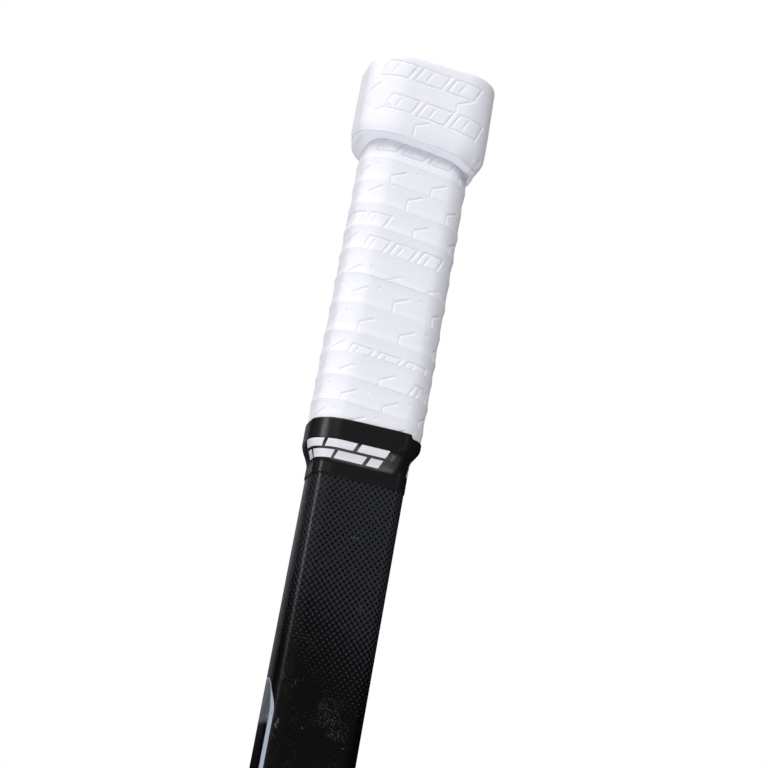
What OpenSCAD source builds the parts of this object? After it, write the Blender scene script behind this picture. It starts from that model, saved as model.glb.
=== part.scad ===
// Senior ice hockey stick, left-handed: hollow carbon shaft, taped handle with a knob,
// and a foam-cored carbon blade whose hosel is bonded into the foot of the shaft.
//
// Frame: the shaft's centre line is the Z axis and the butt end's flat face is z = 0, so the
// stick hangs below the origin. +X points to the blade's toe side. The shaft's broad faces
// look along -Y and +Y, and the blade curves towards -Y, its forehand side.

/* [Shaft] */
// Length from the butt face to the heel, along the shaft
stick_length = 1524; // [1270:1:1600]
// Breadth of the shaft, along X
shaft_w = 30; // [28:0.1:30]
// Depth of the shaft, along Y
shaft_t = 20; // [18:0.1:21]
// Radius of the shaft's corners
shaft_r = 5.3; // [4:0.1:6]
// Wall of the carbon tube
shaft_wall = 1.4; // [1.2:0.1:1.8]
// Breadth of the shaft's foot, below its taper
foot_w = 25; // [23:0.1:27]
// Depth of the shaft's foot, below its taper
foot_t = 17; // [15:0.1:18]
// Length of the tapered stretch
taper_length = 326; // [200:1:400]

/* [Handle] */
// Height of the tape knob
knob_height = 28.6; // [20:0.1:40]
// How far the knob stands out from the shaft's faces
knob_build = 7; // [4:0.1:9]
// How far the wound grip tape stands out from the shaft's faces
grip_build = 2.6; // [2:0.1:3.2]
// Thickness of one ply of the grip tape
grip_ply = 1.3; // [1:0.1:1.5]
// Distance from the butt face to the grip tape's lower end
grip_end = 131; // [110:1:180]
// Breadth of the black finishing tape, along the shaft
finish_band = 17.7; // [15:0.1:25]
// Thickness of the finishing tape's turns together
finish_build = 0.35; // [0.2:0.05:0.6]

/* [Graphics] */
// Thickness of the printed decal films
film_t = 0.15; // [0.1:0.05:0.3]
// Distance from the butt face to the lower end of the handle's film
upper_film_end = 520; // [400:10:700]

/* [Blade] */
// Lie number: lie 5 puts the shaft 45 degrees above the ice
blade_lie = 5; // [4:0.5:7]
// Length of the blade along its sole, heel to toe
blade_length = 315; // [280:1:318]
// Height of the blade at the heel
heel_height = 58; // [52:1:64]
// Height of the blade near the toe
toe_height = 72; // [64:1:76]
// Thickness of the bare blade at the heel
heel_thickness = 9; // [8:0.1:11]
// Thickness of the bare blade at the toe
toe_thickness = 5.8; // [5:0.1:7]
// How far the toe curves towards the forehand side
toe_sweep = 38; // [20:1:45]
// How far the toe's face lies back
toe_open = 6; // [0:0.5:10]
// Thickness of each carbon face skin
skin_t = 0.9; // [0.7:0.1:1.2]
// Thickness of the cloth tape on the blade
blade_tape_t = 0.8; // [0.5:0.1:1]

/* [Hidden] */

CARBON = "#1b1b1e";
FOAM = "#d8d2bd";
corner_steps = 8;            // facets in each quarter of a swept corner
fine = 64;                   // facets of a drawn circle

// Shaft and plug
plug_flange = 2.5;           // thickness of the plug's head, which caps the tube
plug_depth = 30;             // length of the plug inside the tube
plug_gap = 0.1;              // clearance of the plug's body in the bore
plug_shell = 2;              // wall of the moulded plug
joint_z = -stick_length + 118;             // foot of the shaft, where the blade's neck begins
taper_z = joint_z + taper_length;
foot_r = shaft_r - 0.8;
tenon_length = 60;
glue_t = 0.4;

// Handle
fold_z = -0.5;               // top of the tape that is folded over the knob's rim
fold_reach = 5;              // breadth of that fold
core_build = knob_build - grip_ply;        // the cloth tape under the grip tape
core_top = fold_z - grip_ply;
finish_bottom = -grip_end - 11.5;
finish_top = finish_bottom + finish_band;
finish_ramp = 5;             // height over which the finishing tape comes down off the grip tape
film_top = finish_bottom + 6;

// Blade: s runs along the sole from the heel, h runs up from the ice
ice_angle = 45 + 2 * (blade_lie - 5);
along = [sin(ice_angle), -cos(ice_angle)];  // direction of s in the X-Z plane
up = [cos(ice_angle), sin(ice_angle)];      // direction of h in the X-Z plane
heel = [0, -stick_length];
rocker = 3;                  // rise of the sole at its ends
rocker_mid = 150;            // where the sole touches the ice
sole_toe_r = 38;             // radius of the toe's lower quarter
top_toe_r = 28;              // radius of the toe's upper quarter
heel_bend_r = 45;            // radius of the heel
throat_r = 60;               // radius where the neck's front meets the blade's top
sweep_start = 40;            // where the blade's curve begins
edge_w = 3;                  // breadth of the band around the blade's edge
rib_low = 0.45;              // share of the height at which the rib begins
rib_high = 0.55;             // and at which it ends
neck_stations = 5;
bend_stations = 8;
paddle_stations = 28;
height_steps = 6;            // facets from sole to top, of a part that takes the whole height
tape_start = 0.01;           // share of the paddle left bare at the heel

function lerp(a, b, t) = a + (b - a) * t;

// ---- Outlines and sweeps ------------------------------------------------------------

// Points of a rounded rectangle about the origin, anticlockwise.
function round_rect(w, t, r) = [
    for (q = [0:3], i = [0:corner_steps])
        let (a = 90 * q + 90 * i / corner_steps,
             cx = (q == 0 || q == 3 ? 1 : -1) * (w / 2 - r),
             cy = (q < 2 ? 1 : -1) * (t / 2 - r))
        [cx + r * cos(a), cy + r * sin(a)]
];

function at_height(outline, z) = [for (p = outline) [p[0], p[1], z]];

// Section of the shaft at height z, grown by d; it narrows below taper_z.
function taper_share(z) = max(0, min(1, (taper_z - z) / taper_length));
function shaft_ring(z, d) =
    let (k = taper_share(z))
    at_height(round_rect(lerp(shaft_w, foot_w, k) + 2 * d,
                         lerp(shaft_t, foot_t, k) + 2 * d,
                         lerp(shaft_r, foot_r, k) + d), z);

function ring_faces(first, n, rings, flip) = [
    for (i = [0:rings - 2], j = [0:n - 1])
        let (a = first + i * n + j,
             b = first + i * n + (j + 1) % n)
        each (flip ? [[a, b + n, b], [a, a + n, b + n]] : [[a, b, b + n], [a, b + n, a + n]])
];

// Cap of a ring, in strips that join its first half to its second half.
function cap(first, n, flip) = [
    for (j = [0:n / 2 - 2])
        let (a = first + j, b = a + 1, d = first + n - 1 - j, c = d - 1)
        each (flip ? [[a, b, c], [a, c, d]] : [[a, c, b], [a, d, c]])
];

// Solid through a list of rings, which are listed so that the caps face outwards.
module loft(rings) {
    n = len(rings[0]);
    m = len(rings);
    polyhedron([for (r = rings) each r],
               concat(ring_faces(0, n, m, false), cap(0, n, false), cap((m - 1) * n, n, true)),
               convexity = 6);
}

// Tube between two lists of rings. With closed = true its far end is shut by both caps.
module shell(outer, inner, closed = false) {
    n = len(outer[0]);
    mo = len(outer);
    mi = len(inner);
    start = mo * n;
    near = [for (j = [0:n - 1]) let (k = (j + 1) % n)
            each [[j, start + k, k], [j, start + j, start + k]]];
    a = (mo - 1) * n;
    b = start + (mi - 1) * n;
    far = closed
        ? concat(cap(a, n, true), cap(b, n, false))
        : [for (j = [0:n - 1]) let (k = (j + 1) % n)
           each [[a + j, a + k, b + k], [a + j, b + k, b + j]]];
    polyhedron(concat([for (r = outer) each r], [for (r = inner) each r]),
               concat(ring_faces(0, n, mo, false), ring_faces(start, n, mi, true), near, far),
               convexity = 8);
}

module rounded_area(w, t, r) {
    square([w - 2 * r, t], center = true);
    square([w, t - 2 * r], center = true);
    for (x = [-1, 1], y = [-1, 1])
        translate([x * (w / 2 - r), y * (t / 2 - r)]) circle(r, $fn = fine);
}

// Straight bar from z = low to z = high, standing d outside the shaft's faces.
module bar(low, high, d) {
    translate([0, 0, low])
        linear_extrude(high - low)
            rounded_area(shaft_w + 2 * d, shaft_t + 2 * d, shaft_r + d);
}

module sleeve(low, high, d_in, d_out) {
    difference() {
        bar(low, high, d_out);
        bar(low - 1, high + 1, d_in);
    }
}

// ---- Handle ---------------------------------------------------------------------------

// Moulded plug: a head that caps the tube and a hollow body with two grip rings.
module butt_plug() {
    bore = -shaft_wall;
    ring_h = 1.5;
    color("#202124") {
        bar(-plug_flange, 0, 0);
        difference() {
            union() {
                bar(-plug_depth, -plug_flange, bore - plug_gap * 6);
                for (z = [-12, -22]) bar(z, z + ring_h, bore - plug_gap);
            }
            bar(-plug_depth - 1, -plug_flange - plug_shell, bore - plug_shell);
        }
    }
}

// Cloth tape wound on itself, which gives the knob its bulk.
module knob_core() {
    color("#e9e9e6") sleeve(-knob_height + grip_ply, core_top, 0, core_build);
}

// The grip tape: folded over the rim, round the knob, under its ledge and down the handle.
module grip_tape() {
    color("#f4f5f9") difference() {
        union() {
            bar(-knob_height, fold_z, knob_build);
            bar(-grip_end, -knob_height, grip_build);
        }
        bar(-grip_end - 1, 1, 0);
        bar(-knob_height + grip_ply, core_top, core_build);
        bar(core_top - 1, 1, max(plug_gap, knob_build - fold_reach));
    }
}

// Black finishing tape: half its breadth holds the grip tape's end, half is on the shaft.
module finishing_tape() {
    ramp_top = -grip_end;
    ramp_foot = ramp_top - finish_ramp;
    path = [[finish_top, grip_build], [ramp_top, grip_build],
            [ramp_foot, film_t], [finish_bottom, film_t]];
    color("#17181b")
        shell([for (p = path) shaft_ring(p[0], p[1] + finish_build)],
              [for (p = path) shaft_ring(p[0], p[1])]);
}

// ---- Shaft ----------------------------------------------------------------------------

module shaft_tube() {
    heights = [-plug_flange, taper_z, joint_z];
    color(CARBON)
        shell([for (z = heights) shaft_ring(z, 0)],
              [for (z = heights) shaft_ring(z, -shaft_wall)]);
}

// Film with the halftone fade and the side panels' outline.
module upper_graphic_film() {
    color("#2b2c30") sleeve(-upper_film_end, film_top, 0, film_t);
}

// Film on the tapered stretch above the blade.
module lower_graphic_film() {
    ends = [taper_z, joint_z + 2];
    color("#222327")
        shell([for (z = ends) shaft_ring(z, film_t)], [for (z = ends) shaft_ring(z, 0)]);
}

// ---- Blade ----------------------------------------------------------------------------

// Point at angle a of the arc that turns the vertical line through corner into the sole's direction.
function bend_point(corner, r, a) =
    [corner[0] + r - r * cos(a), corner[1] + r * tan(ice_angle / 2) - r * sin(a)];

// Outline of the paddle, inset by i all round.
function toe_arc(s, r, i) =
    let (x = max(0, s - (blade_length - r)), c = r - i)
    c - sqrt(max(0, c * c - x * x));
function sole_h(s, i) = rocker * pow((s - rocker_mid) / rocker_mid, 2) + i + toe_arc(s, sole_toe_r, i);
function top_h(s, i) =
    lerp(heel_height, toe_height, sin(90 * max(0, min(1, s / blade_length)))) - i
    - toe_arc(s, top_toe_r, i);

// Height of the blade's middle surface, with its sweep and the laid-back toe.
function bent(s) = pow(max(0, (s - sweep_start) / (blade_length - sweep_start)), 1.9);
function mid_y(s, h) = -toe_sweep * bent(s) + tan(toe_open * bent(s)) * (h - toe_height / 2);
function half_t(s) = lerp(heel_thickness, toe_thickness, max(0, s / blade_length)) / 2;

function to_frame(s, h, dy) =
    let (p = heel + along * s + up * h)
    [p[0], mid_y(s, h) + dy, p[1]];

// Stations of the paddle: the sole's and the top's s at share u, closer together at the toe.
function edge_s(x, h) = (x - h * up[0]) / along[0];    // s of the point at x on the line of height h
heel_h = sole_h(edge_s(-foot_w / 2, 0), 0);
sole_start = edge_s(-foot_w / 2, heel_h) + heel_bend_r * tan(ice_angle / 2);
top_start = edge_s(foot_w / 2, heel_height) + throat_r * tan(ice_angle / 2);
throat_h = top_h(top_start, 0);
heel_corner = heel + along * edge_s(-foot_w / 2, heel_h) + up * heel_h;
throat_corner = heel + along * edge_s(foot_w / 2, throat_h) + up * throat_h;
function spread(u) = sin(90 * u);
function sole_s(u, i) = lerp(sole_start, blade_length - i, spread(u));
function top_s(u, i) = lerp(top_start, blade_length - i, spread(u));

// A slice of the paddle at share u, inset by i, from share a to share b of its height and
// from y low to y high about the middle surface.
function slice_point(u, i, k) =
    let (s0 = sole_s(u, i), s1 = top_s(u, i))
    [lerp(s0, s1, k), lerp(sole_h(s0, i), top_h(s1, i), k)];
function slice(u, i, a, b, low, high) =
    let (steps = max(1, round((b - a) * height_steps)))
    [
        for (j = [0:steps]) let (p = slice_point(u, i, lerp(a, b, j / steps)))
            to_frame(p[0], p[1], low(p[0])),
        for (j = [steps:-1:0]) let (p = slice_point(u, i, lerp(a, b, j / steps)))
            to_frame(p[0], p[1], high(p[0]))
    ];
shares = [for (n = [0:paddle_stations]) n / paddle_stations];

module paddle_part(i, a, b, low, high) {
    loft([for (u = shares) slice(u, i, a, b, low, high)]);
}

outer_low = function(s) -half_t(s);
outer_high = function(s) half_t(s);
inner_low = function(s) -half_t(s) + skin_t;
inner_high = function(s) half_t(s) - skin_t;

module forehand_skin() { color(CARBON) paddle_part(0, 0, 1, outer_low, inner_low); }
module backhand_skin() { color(CARBON) paddle_part(0, 0, 1, inner_high, outer_high); }
module lower_foam_core() { color(FOAM) paddle_part(edge_w, 0, rib_low, inner_low, inner_high); }
module stiffening_rib() { color(CARBON) paddle_part(edge_w, rib_low, rib_high, inner_low, inner_high); }
module upper_foam_core() { color(FOAM) paddle_part(edge_w, rib_high, 1, inner_low, inner_high); }

// Band of carbon and resin between the skins: along the sole, round the toe, back along the top.
module edge_band() {
    function station(u, k) =
        let (o = slice_point(u, 0, k), p = slice_point(u, edge_w, k))
        [to_frame(o[0], o[1], inner_low(o[0])), to_frame(p[0], p[1], inner_low(p[0])),
         to_frame(p[0], p[1], inner_high(p[0])), to_frame(o[0], o[1], inner_high(o[0]))];
    color("#26272b")
        loft([for (u = shares) station(u, 0),
              for (n = [paddle_stations:-1:0]) station(n / paddle_stations, 1)]);
}

// Ring of the neck from its back edge b to its front edge f, both in the X-Z plane.
function neck_ring(b, f, depth, r) =
    let (mid = (b + f) / 2, length = norm(f - b), d = (f - b) / length)
    [for (p = round_rect(length, depth, r))
        let (q = mid + d * p[0])
        [q[0], p[1], q[1]]];

// Tenon in the shaft's foot, neck, and the heel that carries the paddle.
module hosel() {
    bend_top_back = bend_point(heel_corner, heel_bend_r, 0);
    bend_top_front = bend_point(throat_corner, throat_r, 0);
    joint_back = [-foot_w / 2, joint_z];
    joint_front = [foot_w / 2, joint_z];
    neck_depth = 13;
    shoulder = -shaft_wall - glue_t;
    color(CARBON) loft(concat(
        [for (z = [joint_z + tenon_length, joint_z]) shaft_ring(z, shoulder)],
        [for (n = [0:neck_stations]) let (t = n / neck_stations)
            neck_ring(lerp(joint_back, bend_top_back, t), lerp(joint_front, bend_top_front, t),
                      lerp(foot_t, neck_depth, t), foot_r)],
        [for (n = [1:bend_stations]) let (t = n / bend_stations, a = ice_angle * t)
            neck_ring(bend_point(heel_corner, heel_bend_r, a), bend_point(throat_corner, throat_r, a),
                      lerp(neck_depth, heel_thickness, t), lerp(foot_r, heel_thickness / 3, t))]));
}

// Hot-melt adhesive that fills the gap round the tenon.
module glue_line() {
    ends = [joint_z + tenon_length, joint_z];
    color("#c9a66b")
        shell([for (z = ends) shaft_ring(z, -shaft_wall)],
              [for (z = ends) shaft_ring(z, -shaft_wall - glue_t)]);
}

// Cloth tape wound heel to toe round the paddle and closed over the toe.
module blade_tape() {
    function cover(u, d) =
        let (s0 = sole_s(u, -d), s1 = top_s(u, -d))
        slice(u, -d, 0, 1, function(s) -half_t(s) - d, function(s) half_t(s) + d);
    covered = [for (u = shares) max(tape_start, u)];
    color("#161719")
        shell([for (u = covered) cover(u, blade_tape_t)], [for (u = covered) cover(u, 0)],
              closed = true);
}

butt_plug();
knob_core();
grip_tape();
finishing_tape();
shaft_tube();
upper_graphic_film();
lower_graphic_film();
hosel();
glue_line();
forehand_skin();
backhand_skin();
edge_band();
lower_foam_core();
stiffening_rib();
upper_foam_core();
blade_tape();
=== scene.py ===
# %% [markdown]
# # A taped ice hockey stick
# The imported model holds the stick's real pieces: the carbon shaft, the butt plug, the blade and its
# core. This notebook adds what the eye reads: wound tape with real edges, a printed shaft and a
# taped blade. Every surface is worked out with numpy as a profile carried along a path.

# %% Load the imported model
import math

import bpy
import numpy as np
from mathutils import Matrix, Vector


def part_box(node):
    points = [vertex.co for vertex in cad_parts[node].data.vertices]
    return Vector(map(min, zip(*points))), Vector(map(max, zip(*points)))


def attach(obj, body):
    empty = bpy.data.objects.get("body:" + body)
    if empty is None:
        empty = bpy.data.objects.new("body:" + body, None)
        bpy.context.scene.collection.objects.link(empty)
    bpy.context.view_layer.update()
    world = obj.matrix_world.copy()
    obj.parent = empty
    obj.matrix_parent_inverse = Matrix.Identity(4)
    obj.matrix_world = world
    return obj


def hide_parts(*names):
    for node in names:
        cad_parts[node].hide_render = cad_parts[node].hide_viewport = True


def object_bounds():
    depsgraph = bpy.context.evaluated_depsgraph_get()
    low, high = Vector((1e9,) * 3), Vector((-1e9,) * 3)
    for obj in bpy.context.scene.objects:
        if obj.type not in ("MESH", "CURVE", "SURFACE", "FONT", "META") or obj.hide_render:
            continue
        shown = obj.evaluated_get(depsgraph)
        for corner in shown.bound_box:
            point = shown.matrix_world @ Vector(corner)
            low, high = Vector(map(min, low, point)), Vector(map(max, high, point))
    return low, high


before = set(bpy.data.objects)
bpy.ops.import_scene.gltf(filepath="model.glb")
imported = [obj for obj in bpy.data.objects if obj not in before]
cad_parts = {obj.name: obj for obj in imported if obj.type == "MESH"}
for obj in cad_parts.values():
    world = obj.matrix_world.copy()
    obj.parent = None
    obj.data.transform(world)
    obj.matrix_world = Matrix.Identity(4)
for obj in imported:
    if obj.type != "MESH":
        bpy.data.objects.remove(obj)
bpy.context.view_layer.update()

MM = 0.001      # the stick is described in millimetres and built in metres


def box_mm(node):
    """Lowest and highest corner of a CAD node, in millimetres."""
    low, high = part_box(node)
    return np.array(low) / MM, np.array(high) / MM


# %% [markdown]
# ## Camera
# The view looks up at the handle from a little below and to one side, and it is rolled, so the stick
# leans across it. A camera can be placed by hand or worked out from where it stands and
# what it aims at. The second way keeps the angles readable, so it is used here.

# %% Camera
CAMERA_AIM = (3.5, 0.0, -107.0)     # mm, a point beside the shaft's centre line
CAMERA_DISTANCE = 563.0             # mm
CAMERA_SIDE = math.radians(12.63)   # turned towards -X from straight in front
CAMERA_BELOW = math.radians(16.5)   # looking up
CAMERA_ROLL = math.radians(10.38)
CAMERA_LENS = 81.66                 # mm, on a sensor 36 mm broad


def camera_axes(side, below, roll):
    """Right, up and back: back points from the aim to the camera, and roll turns right towards up."""
    back = -np.array([math.sin(side) * math.cos(below),
                      math.cos(side) * math.cos(below),
                      math.sin(below)])
    level = np.cross(-back, (0, 0, 1))
    level /= np.linalg.norm(level)
    upright = np.cross(level, -back)
    right = math.cos(roll) * level + math.sin(roll) * upright
    return right, np.cross(back, right), back


camera_data = bpy.data.cameras.new("camera")
camera_data.lens = CAMERA_LENS
camera_data.sensor_width = 36.0
camera = bpy.data.objects.new("camera", camera_data)
bpy.context.scene.collection.objects.link(camera)
right, up, back = camera_axes(CAMERA_SIDE, CAMERA_BELOW, CAMERA_ROLL)
pose = np.eye(4)
pose[:3, :3] = np.stack([right, up, back], axis=1)
pose[:3, 3] = (np.array(CAMERA_AIM) + CAMERA_DISTANCE * back) * MM
camera.matrix_world = Matrix(pose)
bpy.context.scene.camera = camera
print("camera at", np.round(pose[:3, 3], 3), "m")

# %% [markdown]
# ## The shaft's outline
# A hockey shaft is a rectangle with rounded corners, and the tapes follow it at a distance. An
# outline can be stored as points, or as a function of the distance travelled round it. With the
# function, a helix, a print and a seam can all be placed in millimetres along the surface.

# %% Measures from the model
plug_low, plug_high = box_mm("butt_plug")
grip_low, grip_high = box_mm("grip_tape")
band_low, band_high = box_mm("finishing_tape")
film_low, film_high = box_mm("upper_graphic_film")
tube_low, tube_high = box_mm("shaft_tube")
SHAFT = (plug_high[0] - plug_low[0], plug_high[1] - plug_low[1], 5.3)   # width, depth, corner radius
KNOB_GROW = (grip_high[0] - grip_low[0] - SHAFT[0]) / 2
GRIP_GROW = 2.6         # mm from the shaft to the wound tape's outside
FILM_GROW = (film_high[0] - film_low[0] - SHAFT[0]) / 2
print(f"shaft {SHAFT[0]:.1f} x {SHAFT[1]:.1f} mm, knob stands out {KNOB_GROW:.1f} mm")


# %% Outline of the shaft
def outline_marks(size, ref):
    """Where the outline's flats and corners start, measured round a copy grown by ref.

    Returns the distances from the middle of the front, the heading of the normal in quarter turns,
    and the centre of the corner circle that the normal passes through."""
    w, t, r = size
    x, y, quarter = w / 2 - r, t / 2 - r, (r + ref) * math.pi / 2
    steps = [0, x, quarter, 2 * y, quarter, 2 * x, quarter, 2 * y, quarter, x]
    heading = np.array([0, 0, 1, 1, 2, 2, 3, 3, 4, 4])
    centre_x = np.array([0, x, x, x, x, -x, -x, -x, -x, 0])
    centre_y = np.array([-y, -y, -y, y, y, y, y, -y, -y, -y])
    return np.cumsum(steps), heading, centre_x, centre_y


def perimeter(ref, size=SHAFT):
    """Length round the outline grown by ref."""
    return outline_marks(size, ref)[0][-1]


def around(distance, grow, ref, size=SHAFT):
    """Points at a distance round the outline from the middle of the front, towards +X.

    The point is the corner circle's centre plus (radius + grow) times the normal. Distance is
    measured on the copy grown by ref. distance and grow are arrays of one shape."""
    marks, heading, centre_x, centre_y = outline_marks(size, ref)
    distance = np.mod(distance, marks[-1])
    angle = np.interp(distance, marks, heading) * math.pi / 2
    reach = size[2] + grow
    x = np.interp(distance, marks, centre_x) + reach * np.sin(angle)
    y = np.interp(distance, marks, centre_y) - reach * np.cos(angle)
    return x, y


def smooth_step(low, high, value):
    """0 below low, 1 above high, and an S-shaped rise between, 3 t^2 - 2 t^3."""
    t = np.clip((value - low) / (high - low), 0, 1)
    return t * t * (3 - 2 * t)


def at_corner(distance, ref, width=5.0):
    """1 at the middle of each corner of the outline grown by ref, fading as exp(-(distance / width)^2)."""
    marks = outline_marks(SHAFT, ref)[0]
    middles = (marks[1:8:2] + marks[2:9:2]) / 2
    away = np.mod(distance[..., None] - middles + marks[-1] / 2, marks[-1]) - marks[-1] / 2
    return np.exp(-(away / width) ** 2).sum(-1)


# %% [markdown]
# ## Putting a surface into Blender
# Each new piece is a stack of rings, every ring a closed loop of points. Consecutive rings are
# joined by four-sided faces. A path that closes on itself needs no ends, and one that doesn't gets a
# cap at each end. The enclosed volume tells whether the faces look outwards.

# %% Rings to a mesh
def ring_quads(rings, points, closed):
    """Quads between rings, as indices into a grid that has one row more when the path closes."""
    rows = rings if closed else rings - 1
    i, j = np.meshgrid(np.arange(rows), np.arange(points), indexing="ij")
    k = (j + 1) % points
    quads = np.stack([i * points + j, i * points + k, (i + 1) * points + k, (i + 1) * points + j], -1)
    return quads.reshape(-1, 4)


def enclosed(points, quads):
    """Volume inside the quads: a sum of tetrahedra to the origin, negative if they face inwards."""
    a, b, c, d = (points[quads[:, n]] for n in range(4))
    return (np.einsum("ij,ij->i", a, np.cross(b, c)) + np.einsum("ij,ij->i", a, np.cross(c, d))).sum() / 6


def sweep(name, rings, material, closed=False, uv=None, uv_turn=(0, 0), sharp=50):
    """Makes a closed mesh of rings, an array (rings, points, 3) in mm. uv is (rings, points, 2).

    uv_turn is what the uv gains over one whole turn of a path that closes, and sharp is the angle in
    degrees above which an edge stays crisp."""
    count, size, _ = rings.shape
    points = rings.reshape(-1, 3)
    grid = ring_quads(count, size, closed)
    quads = grid % len(points)
    inward = enclosed(points, quads) < 0
    if inward:
        grid, quads = grid[:, ::-1], quads[:, ::-1]
    faces = quads.tolist()
    if not closed:
        first = list(range(size))
        last = [len(points) - size + n for n in first]
        faces += [first, last[::-1]] if inward else [first[::-1], last]
    mesh = bpy.data.meshes.new(name)
    mesh.from_pydata(points * MM, [], faces)
    if uv is not None:
        table = np.concatenate([uv.reshape(-1, 2), uv[0] + np.array(uv_turn)])
        flat = np.zeros((len(mesh.loops), 2))
        flat[:quads.size] = table[grid.ravel()]
        mesh.uv_layers.new(name="surface").data.foreach_set("uv", (flat * MM).ravel())
    mesh.polygons.foreach_set("use_smooth", np.ones(len(faces), bool))
    mesh.set_sharp_from_angle(angle=math.radians(sharp))
    mesh.materials.append(material)
    piece = bpy.data.objects.new(name, mesh)
    bpy.context.scene.collection.objects.link(piece)
    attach(piece, "root")
    print(f"{name}: {len(faces)} faces, {abs(enclosed(points, quads)) / 1000:.1f} cm3")
    return piece


# %% [markdown]
# ## Materials
# Tape, print and cloth all need fine relief, speckle and wear, so those are node groups that each
# material sets with its own values. A group could also hold the whole shader, but then the export
# couldn't read it, so the shader stays in the material. Node sums are long to write out one by one,
# so a small class lets a node's output be added and multiplied like a number.

# %% Signals: outputs that can be added and multiplied
class Signal:
    """A node's output that takes part in sums. Each operation adds one Math node to its tree."""

    def __init__(self, socket):
        self.socket = socket
        self.tree = socket.id_data

    def __add__(self, other):
        return maths("ADD", self, other)

    def __sub__(self, other):
        return maths("SUBTRACT", self, other)

    def __mul__(self, other):
        return maths("MULTIPLY", self, other)

    def __truediv__(self, other):
        return maths("DIVIDE", self, other)

    def __mod__(self, other):
        return maths("FLOORED_MODULO", self, other)

    def __gt__(self, other):
        return maths("GREATER_THAN", self, other)

    def __lt__(self, other):
        return maths("LESS_THAN", self, other)


def wire(tree, kind, inputs, **settings):
    """Adds a node, sets it, fills its inputs from signals or constants, and gives its outputs."""
    node = tree.nodes.new(kind)
    for key, value in settings.items():
        setattr(node, key, value)
    for key, value in inputs.items():
        if isinstance(value, Signal):
            tree.links.new(value.socket, node.inputs[key])
        else:
            node.inputs[key].default_value = value
    return [Signal(socket) for socket in node.outputs]


def maths(operation, *values, clamp=False):
    """A Math node's result, in the tree of the first signal among the values."""
    tree = next(value.tree for value in values if isinstance(value, Signal))
    return wire(tree, "ShaderNodeMath", dict(enumerate(values)), operation=operation, use_clamp=clamp)[0]


def total(signals):
    """All the signals added up."""
    return sum(signals[1:], signals[0])


# %% Node helpers
def map_range(value, from_low, from_high, to_low, to_high, **settings):
    """Carries a value evenly from one range to another, and holds it at the ends."""
    return wire(value.tree, "ShaderNodeMapRange",
                {"Value": value, "From Min": from_low, "From Max": from_high,
                 "To Min": to_low, "To Max": to_high}, **settings)[0]


def ramp(value, low, high):
    """0 below low and 1 above high, with a smooth rise. low may be the larger: then it falls."""
    ends = (high, low, 1.0, 0.0) if low > high else (low, high, 0.0, 1.0)
    return map_range(value, *ends, interpolation_type="SMOOTHSTEP")


def between(value, low, high):
    """1 where the value lies between low and high, and 0 elsewhere."""
    return (value > low) * (value < high)


def mix_value(mask, first, second):
    """First value where the mask is 0 and the second where it is 1."""
    return wire(mask.tree, "ShaderNodeMix", {"Factor": mask, "A": first, "B": second}, data_type="FLOAT")[0]


def mix_colour(mask, first, second):
    """First colour where the mask is 0 and the second where it is 1: signals or three numbers."""
    first, second = (c if isinstance(c, Signal) else (*c, 1) for c in (first, second))
    return wire(mask.tree, "ShaderNodeMix", {"Factor": mask, 6: first, 7: second}, data_type="RGBA")[2]


def xy(vector):
    """The vector's X and Y."""
    return wire(vector.tree, "ShaderNodeSeparateXYZ", {"Vector": vector})[:2]


def noise(vector, scale, detail):
    """A noise's value at the vector."""
    return wire(vector.tree, "ShaderNodeTexNoise", {"Vector": vector, "Scale": scale, "Detail": detail})[0]


# %% Groups
def new_group(name, **inputs):
    """An empty shader group, its vector, and its float inputs, which have the given defaults."""
    group = bpy.data.node_groups.new(name, "ShaderNodeTree")
    group.interface.new_socket("Vector", in_out="INPUT", socket_type="NodeSocketVector")
    for key, value in inputs.items():
        label = key.replace("_", " ")
        socket = group.interface.new_socket(label, in_out="INPUT", socket_type="NodeSocketFloat")
        socket.default_value = value
    given = list(group.nodes.new("NodeGroupInput").outputs)[:len(inputs) + 1]
    return [group] + [Signal(socket) for socket in given]


def close_group(group, **results):
    """Gives the group a float output for each result."""
    for label in results:
        group.interface.new_socket(label, in_out="OUTPUT", socket_type="NodeSocketFloat")
    end = group.nodes.new("NodeGroupOutput")
    for label, signal in results.items():
        group.links.new(signal.socket, end.inputs[label])
    return group


def place_group(group, vector, **values):
    """Puts a group into the vector's tree, with its own values, and gives its outputs."""
    inputs = {key.replace("_", " "): value for key, value in values.items()}
    return wire(vector.tree, "ShaderNodeGroup", {"Vector": vector} | inputs, node_tree=group)


# %% Speckle and grain groups
def make_speckle():
    """Cells of noise that pass a threshold, thinned out by a slow noise."""
    group, here, size, amount = new_group("speckle", Size_mm=1.0, Amount=0.1)
    scale = maths("DIVIDE", 1000.0, size)
    level = noise(here, scale, 2.0) + noise(here, scale / 14.0, 2.0) * 0.35
    bar = maths("SUBTRACT", 0.98, amount)
    return close_group(group, Mask=maths("MULTIPLY", level - bar, 14.0, clamp=True))


def make_grain():
    """Two noises added: a fine one for the grain and a slow one for uneven thickness."""
    group, here, size, slow_size, share = new_group("grain", Size_mm=0.4, Slow_mm=6.0, Slow_share=0.5)
    fine = noise(here, maths("DIVIDE", 1000.0, size), 3.0)
    slow = noise(here, maths("DIVIDE", 1000.0, slow_size), 1.0)
    return close_group(group, Height=fine + slow * share)


speckle, grain = make_speckle(), make_grain()


# %% A material with one Principled shader
def new_material(name, colour, roughness, **constants):
    """A material and its shader, with constants set on the shader's own sockets."""
    material = bpy.data.materials.new(name)
    material.use_nodes = True
    shader = material.node_tree.nodes["Principled BSDF"]
    shader.inputs["Base Color"].default_value = (*colour, 1)
    shader.inputs["Roughness"].default_value = roughness
    for key, value in constants.items():
        shader.inputs[key.replace("_", " ")].default_value = value
    return material, shader


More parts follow.
